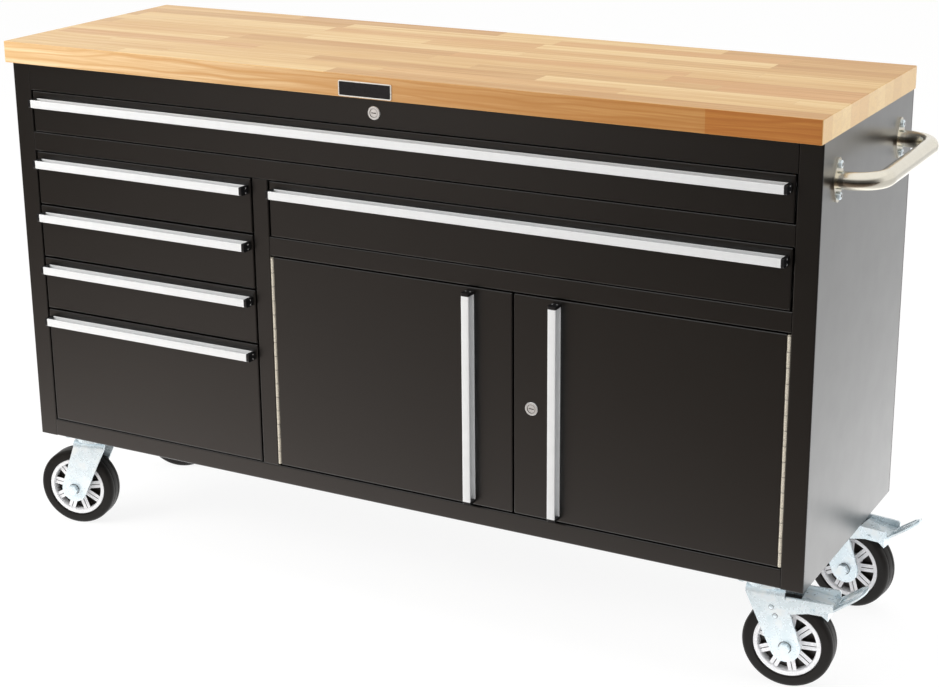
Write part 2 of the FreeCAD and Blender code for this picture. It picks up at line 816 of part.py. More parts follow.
def rim(roll):
    """Wheel centre, turned by roll degrees: hub, disc with pockets between its spokes, and band."""
    hub_half = fork_inner - fork_wheel_clearance
    band = turned([(rim_radius - rim_band, -rim_width / 2, 0), (rim_radius, -rim_width / 2, 0),
                   (rim_radius, rim_width / 2, 0), (rim_radius - rim_band, rim_width / 2, 0)])
    disc = turned([(hub_radius, -rim_disc / 2, 0), (rim_radius - rim_band, -rim_disc / 2, 0),
                   (rim_radius - rim_band, rim_disc / 2, 0), (hub_radius, rim_disc / 2, 0)])
    bore = axle_radius + running_clearance
    hub = turned([(bore, -hub_half, 0), (hub_radius, -hub_half, hub_round),
                  (hub_radius, hub_half, hub_round), (bore, hub_half, 0)])
    window_outer = rim_radius - rim_band
    half_turn = math.pi / spoke_count
    inner = half_turn - math.asin(spoke_width / 2 / window_inner)
    outer = half_turn - math.asin(spoke_width / 2 / window_outer)
    pockets = []
    for index in range(spoke_count):
        middle = 2 * math.pi * index / spoke_count + math.radians(roll)
        corners = []
        for radius, lean in ((window_inner, -inner), (window_outer, -outer),
                             (window_outer, outer), (window_inner, inner)):
            angle = middle + lean
            corners.append((caster_trail + radius * math.cos(angle), radius * math.sin(angle) - axle_drop,
                            window_round))
        pockets.append(prism(corners, on_y, rim_web / 2, rim_disc))
        pockets.append(prism(corners, on_y, -rim_disc, -rim_web / 2))
    return hub.fuse([disc.cut(Part.makeCompound(pockets)), band]).removeSplitter()


def pedal():
    """Brake pedal: plate and foot tongue, skirts on the pivot, and a shoe over the tyre."""
    half = fork_inner - pedal_clearance
    path = [(pedal_tip, -pedal_tip_drop), (pedal_knee, -pedal_knee_drop), (pedal_start, -pedal_start_drop)]
    shape = folded(path, pedal_sheet, pedal_bend, on_y, -half, half)
    tongue = pedal_tongue_width / 2
    top_view = [(pedal_start, -half, 0), (pedal_knee - pedal_sheet, -half, 0), (pedal_knee, -tongue, 0),
                (pedal_tip, -tongue, pedal_tip_radius), (pedal_tip, tongue, pedal_tip_radius),
                (pedal_knee, tongue, 0), (pedal_knee - pedal_sheet, half, 0), (pedal_start, half, 0)]
    shape = shape.common(prism(top_view, on_z, -axle_drop, 0))
    under = pedal_knee_drop + pedal_sheet / 2
    skirt = [(pedal_start, -pedal_start_drop - pedal_sheet / 2, 0),
             (pedal_skirt_end, -pedal_knee_drop + pedal_sheet / 3, 0),
             (pedal_skirt_end, -pedal_skirt_drop, pedal_sheet),
             (pedal_pivot_x - pedal_skirt_inset, -pedal_skirt_drop, pedal_sheet)]
    for start in (-half, half - pedal_sheet):
        shape = shape.fuse(prism(skirt, on_y, start, start + pedal_sheet))
    shoe = block(shoe_start, shoe_end, -shoe_width / 2, shoe_width / 2, -axle_drop, -under)
    pivot = Vector(pedal_pivot_x, 0, -pedal_pivot_drop)
    hub = Vector(caster_trail, 0, -axle_drop)
    hub_seen = pivot + Rotation(Vector(0, 1, 0), -pedal_press).multVec(hub - pivot)
    across = Vector(0, fork_width, 0)
    shoe = shoe.cut(rod(wheel_radius + shoe_clearance, hub_seen - across, hub_seen + across))
    shoe = shoe.common(block(shoe_start, shoe_end, -shoe_width, shoe_width,
                             -under - wheel_radius / 2, -under))
    shape = shape.fuse(shoe)
    pin_bore = rod(pedal_pin_radius + running_clearance, pivot - across, pivot + across)
    return shape.cut(pin_bore).removeSplitter()


def placed(solid, axis, angle):
    """Caster piece turned about its swivel axis and moved under its corner of the body."""
    moved = solid.copy()
    moved.rotate(Vector(0, 0, 0), Vector(0, 0, 1), angle)
    moved.translate(axis)
    return moved


def build():
    """All nodes by name, each a list of solids."""
    nodes = {}
    left_side = side_panel()
    right_side = mirrored(left_side)
    for y, z in handle_bolt_places():
        right_side = right_side.cut(rod(handle_bolt_radius + bolt_clearance, Vector(body_width - sheet, y, z),
                                        Vector(body_width, y, z)))
    base = base_pan([left_side, right_side])
    for spot in caster_spots():
        for place in mount_bolt_places(spot[1]):
            base = base.cut(rod(mount_bolt_radius + bolt_clearance, place, place + Vector(0, 0, sheet)))
    nodes["worktop"] = [worktop()]
    nodes["nameplate"] = [nameplate()]
    nodes["side_panel_left"] = [left_side]
    nodes["side_panel_right"] = [right_side]
    nodes["back_panel"] = [block(0, body_width, panel_back, body_depth, 0, body_height)]
    nodes["base_pan"] = [base]
    right_post = body_width - post_width
    top_rail = rail(top_bay_top, body_height, post_width, right_post)
    nodes["top_rail"] = [top_rail.cut(lock_hole(top_lock_place()))]
    nodes["drawer_rail"] = [rail(mid_bay_top, top_bay_bottom, post_width, right_post)]
    nodes["door_rail"] = [rail(door_bay_top, mid_bay_bottom, right_bay_start, right_bay_end)]
    nodes["centre_post"] = [centre_post()]
    nodes["divider_panel"] = [divider_panel()]
    nodes["shelf"] = [shelf()]
    nodes["shelf_ledges"] = shelf_ledges()
    nodes["push_handle"] = [push_handle()]
    nodes["bolts"] = handle_bolts() + mount_bolts()
    nodes["hinge_post_leaves"] = [hinge(1, False), hinge(-1, False)]
    nodes["top_lock_barrel"] = [lock_barrel(top_lock_place())]
    nodes["top_lock_plug"] = [lock_plug(top_lock_place(), top_cam_length, (1, 0))]
    nodes["door_lock_barrel"] = [lock_barrel(lock_place())]
    nodes["door_lock_plug"] = [lock_plug(lock_place(), door_cam_length, (0, 1))]
    nodes["door_left"] = [door(1)]
    nodes["door_right"] = [door(-1).cut(lock_hole(lock_place()))]
    for name, side in (("door_left", 1), ("door_right", -1)):
        nodes[name + "_pull"] = door_pull(side)
        nodes[name + "_hinge"] = [hinge(side, True)]

    bays = [("drawer_top", left_bay_start, right_bay_end, top_bay_bottom, top_bay_top, box_drop),
            ("drawer_mid", right_bay_start, right_bay_end, mid_bay_bottom, mid_bay_top, box_drop)]
    for index in range(shallow_count):
        top = mid_bay_top - index * shallow_pitch
        name = "drawer_left_%d" % (index + 1)
        bays.append((name, left_bay_start, left_bay_end, top - shallow_pitch, top, box_drop))
    deep_top = mid_bay_top - shallow_count * shallow_pitch
    bays.append(("drawer_left_deep", left_bay_start, left_bay_end, bottom_rail_height, deep_top,
                 deep_box_drop))
    nodes["slide_channels"] = []
    for name, start, end, bottom, top, drop in bays:
        pieces = drawer(start, end, bottom, top, drop)
        nodes[name] = pieces["body"]
        nodes[name + "_pull"] = pieces["pull"]
        nodes[name + "_runners"] = pieces["runners"]
        nodes["slide_channels"] += pieces["slides"]

    nodes["caster_mounts"] = []
    for name, axis, angle, roll, brake in caster_spots():
        nodes["caster_mounts"].append(caster_mount(axis))
        nodes["fork_" + name] = [placed(piece, axis, angle) for piece in (fork(brake), axle())]
        nodes["rim_" + name] = [placed(rim(roll), axis, angle)]
        nodes["tyre_" + name] = [placed(tyre(), axis, angle)]
        if brake:
            nodes["pedal_" + name] = [placed(pedal(), axis, angle)]
    return nodes


def main():
    nodes = build()
    whole = FreeCAD.BoundBox()
    for solids in nodes.values():
        for solid in solids:
            whole.add(solid.optimalBoundingBox(False, False))
    origin = Vector((whole.XMin + whole.XMax) / 2, (whole.YMin + whole.YMax) / 2, -floor_drop)
    print("origin in body coordinates: %.3f %.3f %.3f" % tuple(origin))
    print("size: %.2f %.2f %.2f" % (whole.XLength, whole.YLength, whole.ZLength))
    os.makedirs("parts", exist_ok=True)
    for name, solids in nodes.items():
        for solid in solids:
            solid.translate(Vector(0, 0, 0) - origin)
            if not solid.isValid() or len(solid.Solids) != 1:
                print("check", name, solid.isValid(), len(solid.Solids))
        shape = solids[0].Solids[0] if len(solids) == 1 else Part.makeCompound(solids)
        shape.exportStep("parts/%s.step" % name)
    print(len(nodes), "nodes")


main()
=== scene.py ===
import json
import math

import bmesh
import bpy
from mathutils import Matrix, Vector


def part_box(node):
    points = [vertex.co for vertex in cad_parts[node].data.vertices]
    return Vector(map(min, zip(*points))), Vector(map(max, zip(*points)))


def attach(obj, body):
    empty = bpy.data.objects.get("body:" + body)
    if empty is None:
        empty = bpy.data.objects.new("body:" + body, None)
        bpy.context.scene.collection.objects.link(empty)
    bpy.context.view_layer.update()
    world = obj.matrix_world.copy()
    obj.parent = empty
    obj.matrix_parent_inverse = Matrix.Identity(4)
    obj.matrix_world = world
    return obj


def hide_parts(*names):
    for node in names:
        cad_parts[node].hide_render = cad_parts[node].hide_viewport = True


# Looks of the rolling tool cabinet. Places are in metres in the model's frame, and sizes marked mm are turned
# into metres where they are placed.

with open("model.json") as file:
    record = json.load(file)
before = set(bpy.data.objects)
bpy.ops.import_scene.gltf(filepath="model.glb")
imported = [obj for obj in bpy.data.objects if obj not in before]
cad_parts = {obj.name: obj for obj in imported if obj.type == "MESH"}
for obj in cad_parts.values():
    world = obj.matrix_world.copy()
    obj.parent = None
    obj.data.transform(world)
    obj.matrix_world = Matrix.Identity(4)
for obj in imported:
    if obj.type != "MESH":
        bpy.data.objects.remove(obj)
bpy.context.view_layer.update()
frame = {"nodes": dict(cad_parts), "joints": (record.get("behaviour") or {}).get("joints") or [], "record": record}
MM = 0.001

# Camera, solved from the edges of the body in the photograph
CAMERA_PLACE = (1.5806, -2.8484, 1.5211)
CAMERA_TURN = (72.5975, 0.3495, 28.1016)     # degrees about X, Y and Z
CAMERA_LENS = 73.6                           # millimetres on a 36 mm sensor
CAMERA_SHIFT = (-0.0121, -0.0426)

# Wood, metres
STAVE_WIDTH = 0.0436
STAVE_LENGTH = 0.43
STAVE_STAGGER = 7.3           # stave lengths between the patterns of two rows, at most
FIRST_SEAM = 0.0005           # in front of the board
ORANGE_STAVE_START = 0.558

# Paint, metres
PAINT_EDGE = 0.0013

# Continuous hinge, metres
KNUCKLE_PITCH = 0.0254

# Pulls, mm
PULL_DEPTH = 20.0
PULL_HEIGHT = 15.0
PULL_WALL = 2.0
PULL_LIP = 3.5
PULL_BACK_ROUND = 0.6
PULL_TROUGH_ROUND = 1.5
PULL_LIP_ROUND = 1.2
PULL_CAP = 6.0
CAP_INSET = 0.8
CAP_GAP = 0.01
CAP_SCREW_OUT = 6.5
CAP_SCREW_HEIGHTS = (3.2, 11.6)
CAP_SCREW_RADIUS = 1.5
CAP_SCREW_RISE = 0.8

# Wheels, mm
WHEEL_RADIUS = 75.0
WHEEL_WIDTH = 38.0
TYRE_SHOULDER = 7.0
TYRE_BEAD = 1.5
TYRE_BEAD_RISE = 2.0
TYRE_GAP = 0.2
TREAD_GROOVE = 7.0            # middle of the tread to the middle of a groove
GROOVE_HALF = 0.7
GROOVE_DEPTH = 1.4
GROOVE_ROUND = 0.3
RIM_RADIUS = 56.0
RIM_WIDTH = 34.0
RIM_BAND = 8.5
RIM_CHAMFER = 1.5
RIM_ROUND = 1.0
RIM_FACE = 13.0               # middle of the wheel to the faces of the spokes
RIM_WEB = 2.0
RIM_BEVEL = 0.4
SINK = 1.0                    # depth that one part of a wheel centre is let into the next, spokes twice that
HUB_RADIUS = 17.0
HUB_HALF = 25.6
HUB_BORE = 6.1
HUB_RING = 24.0
HUB_RING_ROUND = 0.8
SPOKES = 9
SPOKE_HALF = 7.2
SPOKE_FOOT = 1.5              # middle of the wheel to the foot of a rib, inside the web
SPOKE_END = 0.8
SPOKE_DROP = 0.05             # from the face of the hub ring back to that of the spokes
SPOKE_GROOVE = 0.5            # middle of a spoke to the inner side of its two ribs
SPOKE_GROOVE_DEPTH = 4.0      # from the face of the hub ring back to the bottom of the groove, which is painted dark as shade
SPOKE_GROOVE_FOOT = 1.4
SPOKE_GROOVE_OVERLAP = 0.2    # of that bottom under each rib
POCKET_ANGLES = {"front_left": 30.0, "rear_left": 0.0, "front_right": 22.5, "rear_right": 27.0}

# Casters, mm, from the swivel axis forwards and from the floor up
FORK_HALF = 30.0
LEG_RIVETS = ((13.0, 142.0), (20.0, 127.5))
LEG_RIVET_RADIUS = 3.6
LEG_RIVET_RISE = 1.8
# Painted shade: profile of the dark rings round the axle nuts and rivets on the fork legs
SHADE_RING_PROFILE = ((-0.6, -0.3), (0.9, -0.3), (0.7, 0.15), (-0.6, 0.2))     # out from its radius, and up
AXLE_FORWARD = 38.0
AXLE_NUT_RADIUS = 10.0
TONGUE_START = (110.0, 150.5)
TONGUE_END = (160.0, 186.5)
TONGUE_SHEET = 3.0
TONGUE_LOOP_END = 9.0
TONGUE_LOOP_HALF = 15.0
TONGUE_LOOP_ROUND = 9.0
TONGUE_BEAD = 1.6
TONGUE_BEAD_RISE = 1.12

# Handle bolts, mm from the side panel
PANEL_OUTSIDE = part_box("side_panel_right")[1].x
FLANGE_RADIUS = 22.5
FLANGE_BOLT_OFFSET = 24.0
BOLT_HEAD_TOP = 8.5
SOCKET_RADIUS = 2.6
SOCKET_DEPTHS = (-1.0, 0.12)
COLLAR_PROFILE = ((0.1, -0.4), (1.1, -0.4), (1.0, 0.1), (0.2, 0.2))      # out from the socket, and up

# Locks, mm
PLUG_RADIUS = 7.0
PLUG_JOINT_INSIDE = 0.1
PLUG_JOINT_OUTSIDE = 0.5
PLUG_JOINT_DEPTHS = (-0.65, 0.3)
KEY_HALF_WIDTH = 4.4
KEY_HALF_HEIGHT = 0.7
KEY_END_ROUND = 0.5
KEY_NOTCH = (1.1, 0.8, 0.3)   # half width at its mouth and at its bottom, and height of its bottom
KEY_DEPTHS = (0.2, 3.9)

# Nameplate, mm
PLATE_RIM = 1.8
PLATE_CORNER = 3.0
PLATE_EDGE = 0.3
PLATE_LEAST_CORNER = 0.5
PLATE_FACE_OVERLAP = 0.05
PLATE_FACE_DROPS = (1.2, 0.5)  # from the front of the rim back to the two sides of the black face

# Colours, linear
PAINT = (0.0045, 0.0038, 0.0032)
ALUMINIUM = (0.79, 0.80, 0.81)
ZINC = (0.74, 0.83, 0.88)
ZINC_DARK = (0.66, 0.77, 0.82)
ZINC_PALE = (0.82, 0.87, 0.88)
STAINLESS = (0.76, 0.72, 0.62)
CHROME = (0.85, 0.85, 0.85)
SCREW_STEEL = (0.75, 0.75, 0.75)
HINGE = (0.80, 0.74, 0.62)
HINGE_JOINT = (0.05, 0.04, 0.03)
CAP_BLACK = (0.010, 0.010, 0.011)
PLATE_BLACK = (0.006, 0.006, 0.008)
PLATE_BRIGHT = (0.86, 0.83, 0.78)
RIM_SILVER = (0.86, 0.86, 0.88)
# Painted shade in the wheel pockets and spoke grooves, round the axle nuts and rivets, in the key slots and bolt
# sockets; also the real dark joint round each lock plug
SHADE_AND_JOINT_DARK = (0.020, 0.016, 0.014)
TYRE = (0.008, 0.0068, 0.006)
WHITE = (1.0, 1.0, 1.0)

# Colours of the wood, linear
STRAW = (0.72, 0.49, 0.205)
HONEY = (0.58, 0.335, 0.11)
ORANGE = (0.435, 0.176, 0.033)
PINK = (0.65, 0.37, 0.14)
PALE = (0.82, 0.62, 0.31)
# Painted light: pale colour that the whole board is mixed towards on its left, a painted glare
PAINTED_GLARE_PALE = (0.80, 0.67, 0.47)
# Front stave at its left and right: partly its own tone, partly painted light that falls off from left to right
FRONT_LEFT_TONE = (0.69, 0.50, 0.28)
FRONT_RIGHT_TONE = (0.48, 0.245, 0.075)
GRAIN_SHADE = (0.76, 0.58, 0.38)
FLECK_SHADE = (0.7, 0.5, 0.33)
CLOUD_SHADE = (0.92, 0.82, 0.68)
SEAM_BROWN = (0.34, 0.18, 0.07)
END_PALE = (0.84, 0.66, 0.43)
END_PORE = (0.50, 0.31, 0.14)
END_ARC = (0.64, 0.45, 0.28)
END_SEAM = (0.36, 0.2, 0.09)

# Floor as the camera and matt surfaces see it, and the world
FLOOR_GREY = (0.93, 0.93, 0.93)
FLOOR_FAINT = (0.18, 0.18, 0.18)
FLOOR_GLOW = 0.865
SOFT_WORLD = 0.66
WARM_WHITE = (1.0, 0.995, 0.985)

# Pool of light on the floor that gloss mirrors, metres
POOL_LEVEL = 0.67
POOL_FRONT = 0.75             # in front of the frame's origin, where the pool has that level
POOL_FALL = 0.55              # fade per metre away from the cabinet
POOL_ASIDE = 0.9              # left of the origin, its middle where its lean starts
POOL_LEAN_FRONT = 0.6         # in front of the origin, where its lean starts
POOL_LEAN = 0.54              # sideways per metre along Y
POOL_RIGHT = 1.4              # reach to the right of its middle
POOL_LEFT = 0.8               # reach to the left of its middle
FAR_POOL_ASIDE = 2.8          # left of the origin, the middle of the far pool
FAR_POOL_REACH = 1.15
FAR_POOL_EDGE = (-3.64, -3.76)            # y over which the far pool comes up
POOL_END = (-0.55, -0.30)                 # y over which the plain floor beside the cabinet takes over
BESIDE_NEAR = (0.92, 1.2, 1.55, 0.93)     # from x to x, and the levels of the plain floor there
BESIDE_FAR = (1.2, 1.8, 1.0, 0.83)        # the same, as a share of those levels
POOL_DIM = (1.0, 0.76, 0.58)
POOL_BRIGHT = (1.0, 0.87, 0.79)

CASTERS = ("front_left", "rear_left", "front_right", "rear_right")
BRAKED = ("front_right", "rear_right")
PULLED = {
    "drawer_top": "top_drawer",
    "drawer_mid": "middle_drawer",
    "drawer_left_1": "left_drawer_1",
    "drawer_left_2": "left_drawer_2",
    "drawer_left_3": "left_drawer_3",
    "drawer_left_deep": "left_drawer_deep",
    "door_left": "left_door",
    "door_right": "right_door",
}
LOOKS = {
    "body_paint": "paint",
    "worktop_wood": "wood",
    "plate_enamel": "plate",
    "pull_aluminium": "aluminium_x",
    "zinc": "zinc",
    "hinge_steel": "hinge",
    "handle_steel": "stainless",
    "lock_chrome": "chrome",
    "rim_plastic": "rim",
    "tyre_rubber": "tyre",
}


class Graph:
    """Short calls that add shader nodes to a tree and link them."""

    def __init__(self, tree):
        self.tree = tree

    def node(self, kind, inputs=None, **settings):
        made = self.tree.nodes.new(kind)
        for key, value in settings.items():
            setattr(made, key, value)
        for key, value in (inputs or {}).items():
            self.feed(made.inputs[key], value)
        return made

    def feed(self, socket, value):
        if isinstance(value, bpy.types.NodeSocket):
            self.tree.links.new(value, socket)
        elif isinstance(value, bpy.types.Node):
            self.tree.links.new(value.outputs[0], socket)
        elif hasattr(socket.default_value, "__len__") and len(value) == 3 and len(socket.default_value) == 4:
            socket.default_value = (*value, 1)
        else:
            socket.default_value = value

    def math(self, kind, first, second=0.0):
        return self.node("ShaderNodeMath", {0: first, 1: second}, operation=kind).outputs[0]

    def remap(self, value, low, high, to_low=0.0, to_high=1.0):
        return self.node("ShaderNodeMapRange", {"Value": value, "From Min": low, "From Max": high,
                                                "To Min": to_low, "To Max": to_high}).outputs[0]

    def mix(self, factor, first, second, blend="MIX"):
        made = self.node("ShaderNodeMix", data_type="RGBA", blend_type=blend)
        factor_socket, first_socket, second_socket = made.inputs[0], made.inputs[6], made.inputs[7]
        self.feed(factor_socket, factor)
        self.feed(first_socket, first)
        self.feed(second_socket, second)
        return made.outputs[2]

    def shaded(self, colour, shade):
        return self.mix(1.0, colour, shade, "MULTIPLY")

    def ramp(self, value, stops):
        made = self.node("ShaderNodeValToRGB", {"Fac": value})
        elements = made.color_ramp.elements
        while len(elements) < len(stops):
            elements.new(0.5)
        for element, (place, colour) in zip(elements, stops):
            element.position = place
            element.color = (*colour, 1)
        return made.outputs[0]

    def either(self, factor, first, second):
        return self.node("ShaderNodeMixShader", {0: factor, 1: first, 2: second}).outputs[0]

    def split(self, vector):
        return self.node("ShaderNodeSeparateXYZ", {0: vector}).outputs


class Shader(Graph):
    """A material under construction round its Principled BSDF."""

    def __init__(self, name):
        self.material = bpy.data.materials.new(name)
        self.material.use_nodes = True
        super().__init__(self.material.node_tree)
        self.principled = self.tree.nodes["Principled BSDF"]

    def set(self, **values):
        for key, value in values.items():
            self.feed(self.principled.inputs[key.replace("_", " ")], value)
        return self

    def place(self):
        return self.node("ShaderNodeTexCoord").outputs["Object"]

    def vector(self, kind, first, second):
        return self.node("ShaderNodeVectorMath", {0: first, 1: second}, operation=kind).outputs[0]

    def noise(self, vector, scale, detail, rough=0.5, **more):
        """Noise of one scale, or of a scale for each of X, Y and Z."""
        if isinstance(scale, tuple):
            vector = self.vector("MULTIPLY", vector, scale)
            scale = 1.0
        inputs = {"Vector": vector, "Scale": scale, "Detail": detail, "Roughness": rough, **more}
        return self.node("ShaderNodeTexNoise", inputs)

    def bump(self, height, strength, distance):
        made = self.node("ShaderNodeBump", {"Height": height, "Strength": strength, "Distance": distance})
        self.feed(self.principled.inputs["Normal"], made.outputs[0])
        return self

    def surface(self, shader):
        self.feed(self.tree.nodes["Material Output"].inputs["Surface"], shader)
        return self.material


def darker(colour, share):
    return tuple(part * (1 - share) for part in colour)


def paint_material():
    """Satin black powder coat with a fine grain, its sharp edges softened."""
    s = Shader("powder_coat")
    place = s.place()
    broad = s.noise(place, 3, 3)
    tone = s.mix(s.remap(broad, 0.3, 0.7), PAINT, darker(PAINT, -0.25))
    rough = s.remap(s.noise(place, 22, 4, 0.6), 0.3, 0.7, 0.29, 0.34)
    s.set(Base_Color=tone, Roughness=rough, IOR=1.5, Coat_Weight=1.0, Coat_Roughness=0.3)
    soft_edges = s.node("ShaderNodeBevel", {"Radius": PAINT_EDGE}, samples=6)
    grain = s.noise(place, 900, 3, 0.6)
    grained = s.node("ShaderNodeBump", {"Height": grain, "Strength": 0.03, "Distance": 0.0001,
                                        "Normal": soft_edges})
    return s.set(Normal=grained, Coat_Normal=soft_edges).material


def stave_cells(s, x, y):
    """Places across and along the board, counted in staves, and a random draw for each stave."""
    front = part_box("worktop")[0].y
    across = s.math("DIVIDE", s.math("SUBTRACT", y, front - FIRST_SEAM), STAVE_WIDTH)
    row = s.math("FLOOR", across)
    row_random = s.node("ShaderNodeTexWhiteNoise", {"W": row}, noise_dimensions="1D").outputs["Value"]
    shift = s.math("MULTIPLY", row_random, STAVE_STAGGER)
    along = s.math("ADD", s.math("DIVIDE", x, STAVE_LENGTH), shift)
    cell = s.node("ShaderNodeCombineXYZ", {0: row, 1: s.math("FLOOR", along)})
    stave = s.node("ShaderNodeTexWhiteNoise", {"Vector": cell}, noise_dimensions="2D")
    return across, along, stave.outputs


def stave_tone(s, stave, x, front_face):
    """Plain colour of each stave, and of the long front stave and its orange end. The front stave's fade from left
    to right is partly its own tone and partly painted light, and the whole board is painted paler towards the left
    as a painted glare.
    """
    tone = s.ramp(stave["Value"], [(0.0, HONEY), (0.2, STRAW), (0.4, PALE), (0.56, STRAW),
                                   (0.72, PINK), (0.88, HONEY), (1.0, STRAW)])
    past_joint = s.math("GREATER_THAN", x, ORANGE_STAVE_START)
    # The long front stave fades from pale at the left to dark at the right: partly its own tone, partly painted
    # light standing in for the key lamp on the left
    front_tone = s.mix(s.remap(x, -0.75, 0.45), FRONT_LEFT_TONE, FRONT_RIGHT_TONE)
    tone = s.mix(front_face, tone, s.mix(past_joint, front_tone, ORANGE))
    # Painted light: the board is painted paler towards the left, up to three tenths of the way to a pale colour,
    # as glare
    return s.mix(s.remap(x, 0.1, -0.85, 0, 0.3), tone, PAINTED_GLARE_PALE)


def stave_seams(s, across, along, front_face):
    """Glue lines between rows, and butt joints within the rows of the top."""
    beside = s.math("PINGPONG", s.math("FRACT", across), 0.5)
    end = s.math("PINGPONG", s.math("FRACT", along), 0.5)
    butt = s.math("MULTIPLY", s.remap(end, 0.0, 0.0015, 1, 0), s.math("SUBTRACT", 1.0, front_face))
    return s.math("MAXIMUM", s.remap(beside, 0.0, 0.014, 1, 0), butt)


def wood_material():
    """Edge-glued hardwood staves along X, each with its own tone and grain."""
    s = Shader("staved_hardwood")
    place = s.place()
    x, y, z = s.split(place)
    facing = s.split(s.node("ShaderNodeTexCoord").outputs["Normal"])
    front_face = s.remap(facing[1], -0.6, -0.95)
    end_face = s.remap(s.math("ABSOLUTE", facing[0]), 0.75, 0.95)
    across, along, stave = stave_cells(s, x, y)
    base = stave_tone(s, stave, x, front_face)
    seams = stave_seams(s, across, along, front_face)

    shifted = s.vector("ADD", place, s.vector("MULTIPLY", stave["Color"], (3, 3, 3)))
    shifted = s.mix(front_face, shifted, place)
    waves = s.noise(shifted, (2.0, 16, 16), 2)
    slope = s.math("MULTIPLY", s.math("ADD", y, z), 105.0)
    flow = s.math("PINGPONG", s.math("ADD", slope, s.math("MULTIPLY", waves, 7.0)), 0.5)
    flow_strength = s.remap(front_face, 0.0, 1.0, 0.35, 0.85)
    rings = s.noise(shifted, (2.2, 95, 95), 4, 0.55, Distortion=0.9)
    fibre = s.noise(shifted, (9, 480, 480), 3, 0.6)
    flecks = s.noise(shifted, (60, 900, 900), 2, 0.6)
    clouds = s.noise(shifted, (1.6, 9, 9), 2)

    dark = s.shaded(base, GRAIN_SHADE)
    grained = s.mix(s.remap(rings, 0.40, 0.62, 0, 0.7), base, dark)
    grained = s.mix(s.math("MULTIPLY", s.remap(flow, 0.26, 0.46), flow_strength), grained, dark)
    grained = s.mix(s.remap(fibre, 0.45, 0.65, 0, 0.5), grained, dark)
    grained = s.mix(s.remap(flecks, 0.62, 0.8, 0, 0.4), grained, s.shaded(base, FLECK_SHADE))
    grained = s.mix(s.remap(clouds, 0.35, 0.7, 0, 0.4), grained, s.shaded(base, CLOUD_SHADE))
    grained = s.mix(s.math("MULTIPLY", seams, 0.3), grained, SEAM_BROWN)

    pores = s.noise(place, (300, 420, 420), 2, 0.6)
    arcs = s.noise(shifted, (2, 60, 150), 3)
    end_grain = s.mix(s.remap(pores, 0.45, 0.8, 0, 0.35), s.mix(0.5, base, END_PALE), END_PORE)
    end_grain = s.mix(s.remap(arcs, 0.45, 0.7, 0, 0.35), end_grain, END_ARC)
    end_grain = s.mix(s.math("MULTIPLY", seams, 0.3), end_grain, END_SEAM)

    rough = s.remap(fibre, 0.3, 0.7, 0.36, 0.46)
    s.set(Base_Color=s.mix(end_face, grained, end_grain), Roughness=rough, IOR=1.45)
    height = s.math("ADD", rings.outputs[0], s.math("MULTIPLY", seams, -1.5))
    return s.bump(height, 0.10, 0.0006).material


def metal_material(name, colour, rough, metallic, stretch, spread, bump=0.05):
    """Metal with fine marks, stretched along the direction that it was worked in."""
    s = Shader(name)
    place = s.place()
    marks = s.noise(place, stretch, 4, 0.6)
    patches = s.noise(place, 60, 3, 0.6)
    tone = s.mix(s.remap(patches, 0.3, 0.7), colour, darker(colour, spread))
    s.set(Base_Color=tone, Metallic=metallic, Roughness=s.remap(marks, 0.3, 0.7, rough, rough + 0.1))
    return s.bump(marks, bump, 0.0002).material


def zinc_material():
    """Bright zinc plate: bluish white with soft clouds."""
    s = Shader("zinc_plate")
    clouds = s.noise(s.place(), 55, 3, 0.55)
    tone = s.ramp(clouds, [(0.3, ZINC_DARK), (0.5, ZINC), (0.7, ZINC_PALE)])
    return s.set(Base_Color=tone, Metallic=0.42, Roughness=s.remap(clouds, 0.3, 0.7, 0.22, 0.34)).material


def hinge_material():
    """Continuous hinge: a dark joint line between its knuckles."""
    s = Shader("hinge_steel")
    place = s.place()
    height = s.split(place)[2]
    knuckle = s.math("PINGPONG", s.math("FRACT", s.math("DIVIDE", height, KNUCKLE_PITCH)), 0.5)
    marks = s.noise(place, 500, 3, 0.6)
    tone = s.mix(s.remap(marks, 0.35, 0.65), HINGE, darker(HINGE, 0.35))
    tone = s.mix(s.remap(knuckle, 0.0, 0.035, 0.8, 0), tone, HINGE_JOINT)
    s.set(Base_Color=tone, Metallic=0.3, Roughness=0.38)
    return s.bump(marks, 0.1, 0.0003).material


def plastic_material(name, colour, rough, grain, metallic=0.0):
    """Moulded or enamelled surface with a fine grain."""
    s = Shader(name)
    noise = s.noise(s.place(), grain, 2)
    tone = s.mix(s.remap(noise, 0.3, 0.7), colour, darker(colour, 0.12))
    s.set(Base_Color=tone, Metallic=metallic, Roughness=s.remap(noise, 0.3, 0.7, rough, rough + 0.08))
    return s.bump(noise, 0.06, 0.0003).material


def tyre_material():
    """Rubber with a faint sheen and scuffs."""
    s = Shader("tyre_rubber")
    place = s.place()
    scuffs = s.noise(place, 90, 4, 0.7)
    tone = s.mix(s.remap(scuffs, 0.5, 0.8), TYRE, darker(TYRE, -0.8))
    s.set(Base_Color=tone, Roughness=s.remap(scuffs, 0.3, 0.7, 0.42, 0.54), Specular_IOR_Level=0.2)
    return s.bump(s.noise(place, 800, 2, 0.6), 0.08, 0.0003).material


